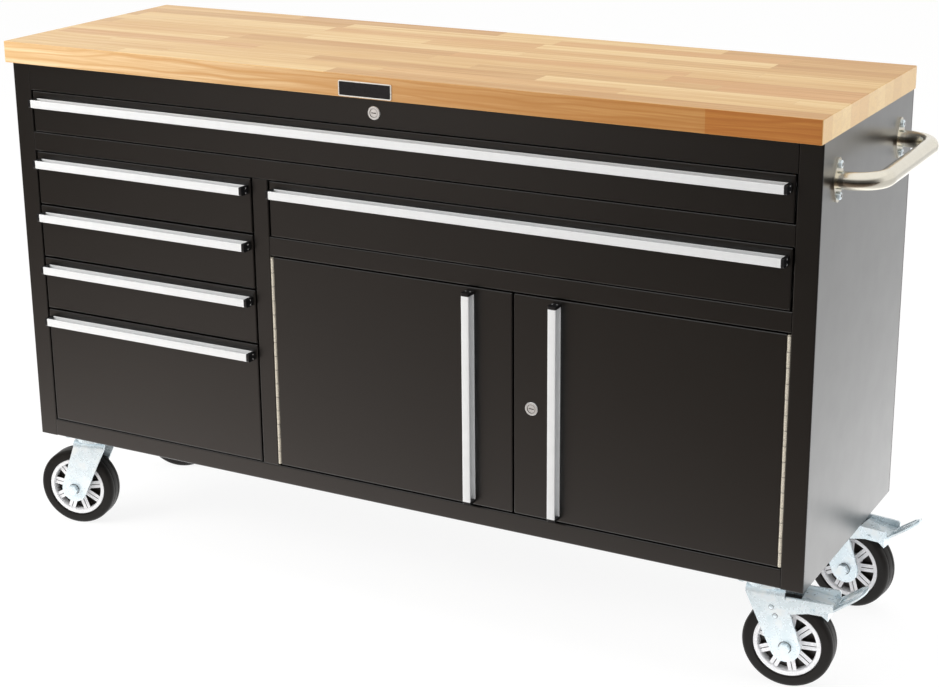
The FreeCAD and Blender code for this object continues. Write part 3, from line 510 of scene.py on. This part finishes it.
def make_materials():
    drawn_x = (2, 900, 900)
    drawn_z = (900, 900, 2)
    return {
        "paint": paint_material(),
        "wood": wood_material(),
        "aluminium_x": metal_material("anodised_x", ALUMINIUM, 0.30, 0.25, drawn_x, 0.04),
        "aluminium_z": metal_material("anodised_z", ALUMINIUM, 0.30, 0.25, drawn_z, 0.04),
        "zinc": zinc_material(),
        "stainless": metal_material("satin_stainless", STAINLESS, 0.17, 1.0, (40, 40, 40), 0.04, 0.0),
        "chrome": metal_material("chrome", CHROME, 0.14, 0.7, (200, 200, 200), 0.03, 0.01),
        "screw": metal_material("screw_steel", SCREW_STEEL, 0.2, 0.8, (300, 300, 300), 0.1, 0.03),
        "hinge": hinge_material(),
        "cap": plastic_material("cap_plastic", CAP_BLACK, 0.28, 600),
        "rim": plastic_material("rim_silver", RIM_SILVER, 0.22, 200, 0.1),
        # Dark look for painted shade, and for the dark joint round each lock plug
        "shade_and_joint_dark": plastic_material("shade_and_joint_dark", SHADE_AND_JOINT_DARK, 0.3, 200),
        "plate": plastic_material("plate_enamel", PLATE_BLACK, 0.2, 300),
        "plate_rim": metal_material("plate_rim", PLATE_BRIGHT, 0.25, 0.4, (300, 300, 300), 0.05, 0.02),
        "tyre": tyre_material(),
    }


MATERIALS = make_materials()


def dress_nodes():
    for part in frame["record"]["subparts"]:
        slots = frame["nodes"][part["node"]].data.materials
        slots.clear()
        slots.append(MATERIALS[LOOKS[part["material_slot"]]])


def rounded(corners, steps=5):
    """Closed outline through (u, v, radius) corners, with an arc at each corner that has a radius."""
    points = []
    for index, (u, v, radius) in enumerate(corners):
        here = Vector((u, v))
        if not radius:
            points.append(here)
            continue
        before = (Vector(corners[index - 1][:2]) - here).normalized()
        after = (Vector(corners[(index + 1) % len(corners)][:2]) - here).normalized()
        half = before.angle(after) / 2
        centre = here + (before + after).normalized() * (radius / math.sin(half))
        reach = radius / math.tan(half)
        start = here + before * reach - centre
        end = here + after * reach - centre
        first = math.atan2(start.y, start.x)
        turn = (math.atan2(end.y, end.x) - first + math.pi) % (2 * math.pi) - math.pi
        for step in range(steps + 1):
            angle = first + turn * step / steps
            points.append(centre + Vector((math.cos(angle), math.sin(angle))) * radius)
    return points


def box_outline(low_u, high_u, low_v, high_v):
    return [(low_u, low_v), (high_u, low_v), (high_u, high_v), (low_u, high_v)]


class Piece:
    """A mesh under construction in the model's frame, with a look for each face."""

    def __init__(self, name, *looks):
        self.name = name
        self.looks = looks
        self.mesh = bmesh.new()

    def skin(self, rings, look, joined=False, capped=True):
        """Faces between rings of points, the last ring joined to the first or both ends capped."""
        made = [[self.mesh.verts.new(point) for point in ring] for ring in rings]
        pairs = list(zip(made, made[1:]))
        if joined:
            pairs.append((made[-1], made[0]))
        faces = []
        for low, high in pairs:
            for index in range(len(low)):
                after = (index + 1) % len(low)
                faces.append(self.mesh.faces.new((low[index], low[after], high[after], high[index])))
        if capped and not joined:
            faces += [self.mesh.faces.new(made[0]), self.mesh.faces.new(made[-1])]
        for face in faces:
            face.material_index = self.looks.index(look)
        return faces

    def prism(self, outline, start, end, place, look, side_look=None):
        """Outline of (u, v) drawn from w = start to w = end."""
        faces = self.skin([[place(u, v, w) for u, v in outline] for w in (start, end)], look)
        if side_look:
            for face in faces[:-2]:
                face.material_index = self.looks.index(side_look)

    def turned(self, outline, place, look, steps=96):
        """Closed outline of (radius, w) turned about the w axis."""
        rings = []
        for step in range(steps):
            angle = 2 * math.pi * step / steps
            u = math.cos(angle)
            v = math.sin(angle)
            rings.append([place(radius * u, radius * v, w) for radius, w in outline])
        self.skin(rings, look, joined=True)

    def dome(self, radius, rise, place, look):
        """Round screw or rivet head on w = 0, let in a little."""
        sunk = -0.3
        outline = [(0, sunk), (radius, sunk), (radius, rise * 0.4), (radius * 0.72, rise * 0.85), (0, rise)]
        self.turned(outline, place, look, 20)

    def finish(self, body, slot, *nodes, bevel=0.0):
        """Object from the mesh, riding on its body in place of the nodes that it replaces."""
        bmesh.ops.remove_doubles(self.mesh, verts=self.mesh.verts, dist=1e-6)
        bmesh.ops.recalc_face_normals(self.mesh, faces=self.mesh.faces)
        data = bpy.data.meshes.new(self.name)
        self.mesh.to_mesh(data)
        self.mesh.free()
        for look in self.looks:
            data.materials.append(MATERIALS[look])
        data.shade_smooth()
        data.set_sharp_from_angle(angle=math.radians(35))
        made = bpy.data.objects.new(self.name, data)
        bpy.context.scene.collection.objects.link(made)
        if bevel:
            edges = made.modifiers.new("edges", "BEVEL")
            edges.width = bevel
            edges.segments = 2
            edges.limit_method = "ANGLE"
            edges.angle_limit = math.radians(50)
        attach(made, body)
        if nodes:
            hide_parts(*nodes)


def make_pull(front, body):
    """Trough extrusion between two black caps, each with two small screws in its end."""
    node = front + "_pull"
    low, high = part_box(node)
    upright = front.startswith("door")
    look = "aluminium_z" if upright else "aluminium_x"
    length = ((high.z - low.z) if upright else (high.x - low.x)) / MM
    inner = PULL_LIP - PULL_DEPTH

    def place(u, v, w):
        if upright:
            return Vector((low.x + v * MM, high.y + u * MM, low.z + w * MM))
        return Vector((low.x + w * MM, high.y + u * MM, low.z + v * MM))

    trough = rounded([(0, 0, 0),
                      (0, PULL_HEIGHT, PULL_BACK_ROUND), (-PULL_WALL, PULL_HEIGHT, PULL_BACK_ROUND),
                      (-PULL_WALL, PULL_WALL, PULL_TROUGH_ROUND), (inner, PULL_WALL, PULL_TROUGH_ROUND),
                      (inner, PULL_HEIGHT, PULL_LIP_ROUND), (-PULL_DEPTH, PULL_HEIGHT, PULL_LIP_ROUND),
                      (-PULL_DEPTH, 0, PULL_LIP)])
    cap = rounded([(0, 0, 0), (0, PULL_HEIGHT, PULL_BACK_ROUND), (-PULL_DEPTH, PULL_HEIGHT, PULL_LIP_ROUND),
                   (-PULL_DEPTH, 0, PULL_LIP)])
    piece = Piece("pull_" + front, look, "cap", "screw")
    piece.prism(trough, PULL_CAP + CAP_GAP, length - PULL_CAP - CAP_GAP, place, look)
    for face, inside, way in ((CAP_INSET, PULL_CAP, -1), (length - CAP_INSET, length - PULL_CAP, 1)):
        piece.prism(cap, min(face, inside), max(face, inside), place, "cap")
        for height in CAP_SCREW_HEIGHTS:

            def on_cap(u, v, w):
                return place(u - CAP_SCREW_OUT, v + height, face + way * w)

            piece.dome(CAP_SCREW_RADIUS, CAP_SCREW_RISE, on_cap, "screw")
    piece.finish(body, "pull_aluminium", node)


def joint_named(name):
    return next(joint for joint in frame["joints"] if joint["name"] == name)


def axle_frame(caster):
    """Directions of a wheel's axle and of its way forwards."""
    axle = Vector(joint_named("roll_" + caster)["axis"])
    return axle, Vector((axle.y, -axle.x, 0))


def wheel_place(caster):
    """Place of (u, v, w) in mm on a wheel: forwards, up and along its axle."""
    centre = Vector(joint_named("roll_" + caster)["pos_m"])
    axle, forward = axle_frame(caster)

    def place(u, v, w):
        return centre + (forward * u + Vector((0, 0, v)) + axle * w) * MM

    return place


def caster_place(caster):
    """Place of (u, w, v) in mm on a caster: forwards from its swivel axis, along the axle and up."""
    swivel = joint_named("swivel_" + caster)["pos_m"]
    foot = Vector((swivel[0], swivel[1], 0))
    axle, forward = axle_frame(caster)

    def place(u, w, v):
        return foot + (forward * u + axle * w + Vector((0, 0, v))) * MM

    return place


def make_tyre(caster):
    """Rubber tyre with two grooves round its tread."""
    half = WHEEL_WIDTH / 2
    bottom = WHEEL_RADIUS - GROOVE_DEPTH
    tread = []
    for middle in (-TREAD_GROOVE, TREAD_GROOVE):
        near = middle - GROOVE_HALF
        far = middle + GROOVE_HALF
        tread += [(WHEEL_RADIUS, near, GROOVE_ROUND), (bottom, near, GROOVE_ROUND),
                  (bottom, far, GROOVE_ROUND), (WHEEL_RADIUS, far, GROOVE_ROUND)]
    inner = RIM_RADIUS + TYRE_GAP
    bead = inner + TYRE_BEAD_RISE
    outline = [(inner, TYRE_BEAD - half, 0), (bead, -half, TYRE_BEAD), (WHEEL_RADIUS, -half, TYRE_SHOULDER),
               *tread,
               (WHEEL_RADIUS, half, TYRE_SHOULDER), (bead, half, TYRE_BEAD), (inner, half - TYRE_BEAD, 0)]
    piece = Piece("tyre_" + caster + "_tread", "tyre")
    piece.turned(rounded(outline), wheel_place(caster), "tyre", 128)
    piece.finish("wheel_" + caster, "tyre_rubber", "tyre_" + caster)


def add_spoke(piece, place, side, angle):
    """One spoke of two ribs with a groove between them, on one side of the web; the groove's bottom and the ribs'
    sides are painted dark as shade.
    """
    out = Vector((math.cos(angle), math.sin(angle)))
    across = Vector((-math.sin(angle), math.cos(angle)))

    def on_spoke(u, v, w):
        point = out * u + across * v
        return place(point.x, point.y, side * w)

    start = HUB_RING - 2 * SINK
    end = RIM_RADIUS - RIM_BAND + SPOKE_END
    for rib in (-1, 1):
        outline = box_outline(start, end, rib * SPOKE_GROOVE, rib * SPOKE_HALF)
        # Painted shade: the sides of the ribs are painted dark, standing in for shade and a dark reflection in the
        # pockets
        piece.prism(outline, SPOKE_FOOT, RIM_FACE - SPOKE_DROP, on_spoke, "rim", "shade_and_joint_dark")
    groove_half = SPOKE_GROOVE + SPOKE_GROOVE_OVERLAP
    groove = box_outline(start, end, -groove_half, groove_half)
    # Painted shade: the dark bottom of the groove between the two ribs
    piece.prism(groove, SPOKE_GROOVE_FOOT, RIM_FACE - SPOKE_GROOVE_DEPTH, on_spoke, "shade_and_joint_dark")


def make_wheel_centre(caster):
    """Hub, web painted dark as shade, bright band and nine spokes on each side of the web."""
    piece = Piece("wheel_centre_" + caster, "rim", "shade_and_joint_dark")
    place = wheel_place(caster)
    inner = RIM_RADIUS - RIM_BAND
    chamfer = inner + RIM_CHAMFER
    half = RIM_WIDTH / 2
    band = [(inner, -RIM_FACE, 0), (chamfer, -half, RIM_ROUND), (RIM_RADIUS, -half, RIM_ROUND),
            (RIM_RADIUS, half, RIM_ROUND), (chamfer, half, RIM_ROUND), (inner, RIM_FACE, 0)]
    hub = [(HUB_BORE, -HUB_HALF, 0), (HUB_RADIUS, -HUB_HALF, RIM_ROUND), (HUB_RADIUS, HUB_HALF, RIM_ROUND),
           (HUB_BORE, HUB_HALF, 0)]
    piece.turned(rounded(band, 3), place, "rim")
    piece.turned(rounded(hub, 3), place, "rim")
    # Painted shade: the web at the back of the pockets is painted dark
    piece.turned(box_outline(HUB_RADIUS - SINK, inner + SINK, -RIM_WEB, RIM_WEB), place, "shade_and_joint_dark")
    for side in (-1, 1):
        foot = side * SINK
        face = side * RIM_FACE
        ring = [(HUB_RADIUS - SINK, foot, 0), (HUB_RING, foot, 0), (HUB_RING, face, HUB_RING_ROUND),
                (HUB_RADIUS - SINK, face, 0)]
        piece.turned(rounded(ring, 3), place, "rim", 72)
        for index in range(SPOKES):
            add_spoke(piece, place, side, math.radians(POCKET_ANGLES[caster] + 360 * (index + 0.5) / SPOKES))
    piece.finish("wheel_" + caster, "rim_plastic", "rim_" + caster, bevel=RIM_BEVEL * MM)


def make_leg_shade_and_rivets(caster):
    """Painted shade as dark rings round the axle nuts, and on a braked fork two rivets on each leg, each in a ring
    of painted shade.
    """
    piece = Piece("leg_shade_and_rivets_" + caster, "zinc", "shade_and_joint_dark")
    place = caster_place(caster)
    shade_rings = [(AXLE_FORWARD, WHEEL_RADIUS, AXLE_NUT_RADIUS)]
    if caster in BRAKED:
        shade_rings += [(*spot, LEG_RIVET_RADIUS) for spot in LEG_RIVETS]
    for side in (-1, 1):
        for forward, up, radius in shade_rings:

            def on_leg(u, v, w):
                return place(forward + u, side * (FORK_HALF + w), up + v)

            # Painted shade: a dark ring round each nut and rivet
            piece.turned([(radius + out, rise) for out, rise in SHADE_RING_PROFILE], on_leg, "shade_and_joint_dark", 24)
            if radius < AXLE_NUT_RADIUS:
                piece.dome(radius, LEG_RIVET_RISE, on_leg, "zinc")
    piece.finish("caster_" + caster, "zinc")


def make_keyway(lock):
    """Painted shade at the bottom of the key slot, and the dark joint line round the plug."""
    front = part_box(lock + "_plug")[0].y
    low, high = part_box(lock + "_barrel")
    middle = (low + high) / 2

    def place(u, v, w):
        return Vector((middle.x + u * MM, front + w * MM, middle.z + v * MM))

    mouth, bottom, rise = KEY_NOTCH
    outline = rounded([(-KEY_HALF_WIDTH, -KEY_HALF_HEIGHT, KEY_END_ROUND),
                       (KEY_HALF_WIDTH, -KEY_HALF_HEIGHT, KEY_END_ROUND),
                       (KEY_HALF_WIDTH, KEY_HALF_HEIGHT, KEY_END_ROUND),
                       (mouth, KEY_HALF_HEIGHT, 0), (bottom, rise, 0), (-bottom, rise, 0),
                       (-mouth, KEY_HALF_HEIGHT, 0), (-KEY_HALF_WIDTH, KEY_HALF_HEIGHT, KEY_END_ROUND)])
    piece = Piece("keyway_" + lock, "shade_and_joint_dark")
    # Painted shade: a dark bar filling the key slot almost to its mouth
    piece.prism(outline, *KEY_DEPTHS, place, "shade_and_joint_dark")
    ring = box_outline(PLUG_RADIUS - PLUG_JOINT_INSIDE, PLUG_RADIUS + PLUG_JOINT_OUTSIDE, *PLUG_JOINT_DEPTHS)
    piece.turned(ring, place, "shade_and_joint_dark", 32)
    piece.finish(lock, "lock_chrome")


def make_bolt_sockets():
    """Hexagonal sockets painted dark as shade, and bright collars on the four handle bolts."""
    low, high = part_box("push_handle")
    piece = Piece("handle_bolt_sockets", "shade_and_joint_dark", "chrome")
    corners = [math.radians(60 * corner) for corner in range(6)]
    socket = [(SOCKET_RADIUS * math.cos(angle), SOCKET_RADIUS * math.sin(angle)) for angle in corners]
    collar = [(SOCKET_RADIUS + out, rise) for out, rise in COLLAR_PROFILE]
    face = PANEL_OUTSIDE + BOLT_HEAD_TOP * MM
    for y in (low.y + FLANGE_RADIUS * MM, high.y - FLANGE_RADIUS * MM):
        for rise in (-FLANGE_BOLT_OFFSET, FLANGE_BOLT_OFFSET):
            height = (low.z + high.z) / 2 + rise * MM

            def place(u, v, w):
                return Vector((face + w * MM, y + u * MM, height + v * MM))

            # Painted shade: a dark hexagon standing in the socket for the shade in its hole
            piece.prism(socket, *SOCKET_DEPTHS, place, "shade_and_joint_dark")
            piece.turned(collar, place, "chrome", 24)
    piece.finish("cabinet", "zinc")


def make_tongue_rib(caster):
    """Pressed loop that stiffens the tongue of a brake pedal."""
    place = caster_place(caster)
    start = Vector(TONGUE_START)
    run = Vector(TONGUE_END) - start
    along = run.normalized()
    normal = Vector((-run.y, run.x)).normalized()
    loop_box = box_outline(TONGUE_LOOP_END, run.length - TONGUE_LOOP_END, -TONGUE_LOOP_HALF, TONGUE_LOOP_HALF)
    loop = rounded([(*corner, TONGUE_LOOP_ROUND) for corner in loop_box], 8)
    around = 10
    rings = []
    for index, point in enumerate(loop):
        heading = (loop[(index + 1) % len(loop)] - loop[index - 1]).normalized()
        outwards = Vector((heading.y, -heading.x))
        ring = []
        for step in range(around):
            angle = 2 * math.pi * step / around
            flat = point + outwards * (TONGUE_BEAD * math.cos(angle))
            lift = TONGUE_SHEET / 2 + TONGUE_BEAD_RISE * math.sin(angle)
            spot = start + along * flat.x + normal * lift
            ring.append(place(spot.x, flat.y, spot.y))
        rings.append(ring)
    piece = Piece("tongue_rib_" + caster, "zinc")
    piece.skin(rings, "zinc", joined=True)
    piece.finish("brake_" + caster, "zinc")


def make_nameplate():
    """Blank black plate in a thin bright rim."""
    low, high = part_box("nameplate")
    width = (high.x - low.x) / MM
    height = (high.z - low.z) / MM
    depth = (high.y - low.y) / MM

    def place(u, v, w):
        return Vector((low.x + u * MM, high.y - w * MM, low.z + v * MM))

    def sides(inset):
        corner = max(PLATE_CORNER - inset, PLATE_LEAST_CORNER)
        return rounded([(inset, inset, corner), (width - inset, inset, corner),
                        (width - inset, height - inset, corner), (inset, height - inset, corner)])

    edge = depth - PLATE_EDGE
    steps = ((0, 0), (0, edge), (PLATE_EDGE, depth), (PLATE_RIM - PLATE_EDGE, depth), (PLATE_RIM, edge),
             (PLATE_RIM, edge - PLATE_EDGE))
    piece = Piece("blank_plate", "plate", "plate_rim")
    piece.skin([[place(u, v, w) for u, v in sides(inset)] for inset, w in steps], "plate_rim", capped=False)
    back, face = [depth - drop for drop in PLATE_FACE_DROPS]
    piece.prism(sides(PLATE_RIM - PLATE_FACE_OVERLAP), back, face, place, "plate")
    piece.finish("cabinet", "plate_enamel", "nameplate")


def make_camera():
    data = bpy.data.cameras.new("camera")
    data.lens = CAMERA_LENS
    data.sensor_width = 36
    data.shift_x, data.shift_y = CAMERA_SHIFT
    data.clip_end = 50
    camera = bpy.data.objects.new("camera", data)
    camera.location = CAMERA_PLACE
    camera.rotation_euler = [math.radians(angle) for angle in CAMERA_TURN]
    bpy.context.scene.collection.objects.link(camera)
    bpy.context.scene.camera = camera


def make_world():
    """White to the camera, soft white to matt surfaces, and to gloss a studio that is dark low in front."""
    world = bpy.data.worlds.new("studio")
    bpy.context.scene.world = world
    world.use_nodes = True
    world.node_tree.nodes.clear()
    g = Graph(world.node_tree)
    direction = g.split(g.node("ShaderNodeTexCoord").outputs["Generated"])
    behind = g.remap(direction[1], -0.40, 0.24, 0.10, 1.0)
    overhead = g.remap(direction[2], 0.30, 0.62, 0.0, 1.1)
    level = g.math("MAXIMUM", behind, overhead)
    soft = g.node("ShaderNodeBackground", {"Color": WARM_WHITE, "Strength": SOFT_WORLD})
    gloss = g.node("ShaderNodeBackground", {"Color": WARM_WHITE, "Strength": level})
    seen = g.node("ShaderNodeBackground", {"Color": WHITE, "Strength": 1.0})
    path = g.node("ShaderNodeLightPath").outputs
    lit = g.either(path["Is Glossy Ray"], soft, gloss)
    g.node("ShaderNodeOutputWorld", {"Surface": g.either(path["Is Camera Ray"], lit, seen)})


def mirrored_floor(s):
    """Emission that gloss mirrors: a pool of light in front, one far to the left, and plain floor beside."""
    place = s.split(s.place())
    x = place[0]
    y = place[1]
    fade = s.math("EXPONENT", s.math("MULTIPLY", s.math("ADD", y, POOL_FRONT), POOL_FALL))
    lean = s.math("MULTIPLY", s.math("ADD", y, POOL_LEAN_FRONT), POOL_LEAN)
    aside = s.math("SUBTRACT", x, s.math("SUBTRACT", lean, POOL_ASIDE))
    spread = s.math("MAXIMUM", s.math("DIVIDE", aside, POOL_RIGHT), s.math("DIVIDE", aside, -POOL_LEFT))
    fall_off = s.math("ADD", s.math("MULTIPLY", spread, spread), 1.0)
    pool = s.math("DIVIDE", s.math("MULTIPLY", fade, POOL_LEVEL), fall_off)
    far_aside = s.math("DIVIDE", s.math("ADD", x, FAR_POOL_ASIDE), FAR_POOL_REACH)
    bell = s.math("EXPONENT", s.math("MULTIPLY", s.math("MULTIPLY", far_aside, far_aside), -1.0))
    far_pool = s.math("MULTIPLY", bell, s.remap(y, *FAR_POOL_EDGE))
    glow = s.math("ADD", pool, far_pool)
    beside = s.math("MULTIPLY", s.remap(x, *BESIDE_NEAR), s.remap(x, *BESIDE_FAR))
    plain = s.remap(y, *POOL_END)
    tint = s.mix(s.remap(glow, 0.08, 0.4), POOL_DIM, POOL_BRIGHT)
    colour = s.shaded(s.mix(plain, glow, beside), s.mix(plain, tint, WHITE))
    return s.node("ShaderNodeEmission", {"Color": colour, "Strength": 1.0})


def make_floor():
    """Pale floor that keeps a faint shadow, and that gloss mirrors as pools of light."""
    reach = 12
    mesh = bpy.data.meshes.new("floor")
    corners = [(-reach, -reach, 0), (reach, -reach, 0), (reach, reach, 0), (-reach, reach, 0)]
    mesh.from_pydata(corners, [], [(0, 1, 2, 3)])
    floor = bpy.data.objects.new("floor", mesh)
    bpy.context.scene.collection.objects.link(floor)
    s = Shader("floor_paper")
    matt = s.node("ShaderNodeBsdfDiffuse", {"Color": FLOOR_GREY})
    faint = s.node("ShaderNodeBsdfDiffuse", {"Color": FLOOR_FAINT})
    bright = s.node("ShaderNodeEmission", {"Color": WHITE, "Strength": FLOOR_GLOW})
    seen = s.node("ShaderNodeAddShader", {0: faint, 1: bright})
    path = s.node("ShaderNodeLightPath").outputs
    shown = s.either(path["Is Camera Ray"], matt, seen)
    mesh.materials.append(s.surface(s.either(path["Is Glossy Ray"], shown, mirrored_floor(s))))


def aimed_lamp(name, kind, place, target, watts, colour=WHITE):
    """Lamp that gloss doesn't mirror, turned towards its target."""
    data = bpy.data.lights.new(name, kind)
    data.energy = watts
    data.color = colour
    lamp = bpy.data.objects.new(name, data)
    lamp.location = place
    lamp.rotation_euler = (Vector(target) - Vector(place)).to_track_quat("-Z", "Y").to_euler()
    lamp.visible_glossy = False
    bpy.context.scene.collection.objects.link(lamp)
    return data


def area_lamp(name, place, target, width, height, watts, colour=WHITE):
    data = aimed_lamp(name, "AREA", place, target, watts, colour)
    data.shape = "RECTANGLE"
    data.size = width
    data.size_y = height


def make_lights():
    middle = (-0.2, 0, 0.5)
    area_lamp("key", (-2.2, -2.2, 1.75), middle, width=2.0, height=1.6, watts=78, colour=(1.0, 0.985, 0.96))
    area_lamp("top", (0.1, 0.4, 4.0), middle, width=3.5, height=2.5, watts=38, colour=(1.0, 0.985, 0.95))
    area_lamp("right", (3.4, 0.4, 1.0), (0.4, 0, 0.35), width=2.0, height=1.6, watts=30,
              colour=(0.97, 0.98, 1.0))
    area_lamp("low", (0.9, -3.2, 0.35), (0.3, 0, 0.12), width=2.4, height=0.5, watts=7)
    spot = aimed_lamp("wheels", "SPOT", (1.9, -2.6, 0.5), (0.78, 0.1, 0.09), watts=75)
    spot.spot_size = math.radians(16)
    spot.spot_blend = 0.8
    spot.shadow_soft_size = 0.25


make_camera()
make_world()
make_floor()
make_lights()
dress_nodes()
for front, body in PULLED.items():
    make_pull(front, body)
for caster in CASTERS:
    make_tyre(caster)
    make_wheel_centre(caster)
    make_leg_shade_and_rivets(caster)
for caster in BRAKED:
    make_tongue_rib(caster)
for lock in ("top_lock", "door_lock"):
    make_keyway(lock)
make_bolt_sockets()
make_nameplate()

bpy.context.scene.view_settings.view_transform = "Standard"
